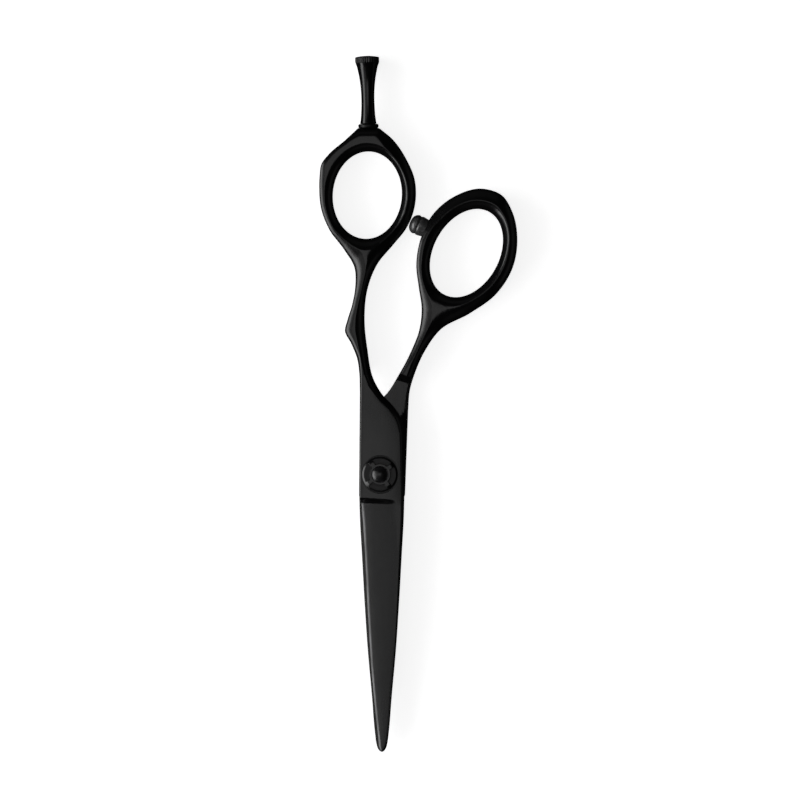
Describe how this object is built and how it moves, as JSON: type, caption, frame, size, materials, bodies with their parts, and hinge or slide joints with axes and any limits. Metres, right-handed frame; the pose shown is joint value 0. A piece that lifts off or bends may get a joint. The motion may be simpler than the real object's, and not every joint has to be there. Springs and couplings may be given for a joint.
{
  "type": "hair cutting shears",
  "caption": "Black-coated hair cutting shears with offset rings, a screw-in finger rest, a rubber bumper and a tension dial at the pivot.",
  "frame": {"origin": "pivot axis where it meets the surface the shears lie on", "axes": "+Z along the pivot axis towards the tension dial, +Y towards the handles, +X towards the thumb ring"},
  "size_m": [0.0486, 0.1706, 0.0076],
  "materials": {
    "black_coated_steel": "satin black coating over stainless steel",
    "black_bolt_steel": "semi-gloss black coating",
    "black_dial": "semi-gloss black coating",
    "black_rest": "gloss black coating",
    "black_washer": "black rubber",
    "bumper_rubber": "smooth dark grey rubber",
    "ground_steel": "ground",
    "spring_steel": "tempered",
    "bronze": "turned",
    "white_polymer": "moulded"
  },
  "bodies": {
    "finger_side": {"finger_half": "black_coated_steel", "pivot_bush": "bronze", "bearing_race": "ground_steel"},
    "thumb_side": {"thumb_half": "black_coated_steel", "pivot_bolt": "black_bolt_steel", "ride_washer": "white_polymer", "thrust_washer": "ground_steel", "spring_washer": "spring_steel", "click_plate": "spring_steel", "click_balls": "ground_steel", "bumper": "bumper_rubber"},
    "bearing": {"bearing_cage": "bronze", "bearing_balls": "ground_steel"},
    "dial": {"tension_dial": "black_dial"},
    "rest_carrier": {"finger_rest_washer": "black_washer"},
    "rest": {"finger_rest": "black_rest"}
  },
  "joints": [
    {"name": "blade_pivot", "type": "hinge", "parent": "finger_side", "child": "thumb_side", "pos_m": [0, 0, 0], "axis": [0, 0, -1], "range_deg": [0, 130]},
    {"name": "bearing_roll", "type": "hinge", "parent": "finger_side", "child": "bearing", "pos_m": [0, 0, 0], "axis": [0, 0, -1], "range_deg": [0, 65]},
    {"name": "dial_turn", "type": "hinge", "parent": "thumb_side", "child": "dial", "pos_m": [0, 0, 0], "axis": [0, 0, -1], "range_deg": [-180, 180]},
    {"name": "rest_travel", "type": "slide", "parent": "finger_side", "child": "rest_carrier", "axis": [-0.0192, 0.9998, 0], "range_m": [0, 0.002]},
    {"name": "rest_turn", "type": "hinge", "parent": "rest_carrier", "child": "rest", "pos_m": [-0.00283, 0.08475, 0.003], "axis": [-0.0192, 0.9998, 0], "range_deg": [0, 1445]}
  ],
  "couplings": [
    {"joint": "bearing_roll", "follows": "blade_pivot", "ratio": 0.5},
    {"joint": "rest_turn", "follows": "rest_travel", "rad_per_m": 12566}
  ]
}
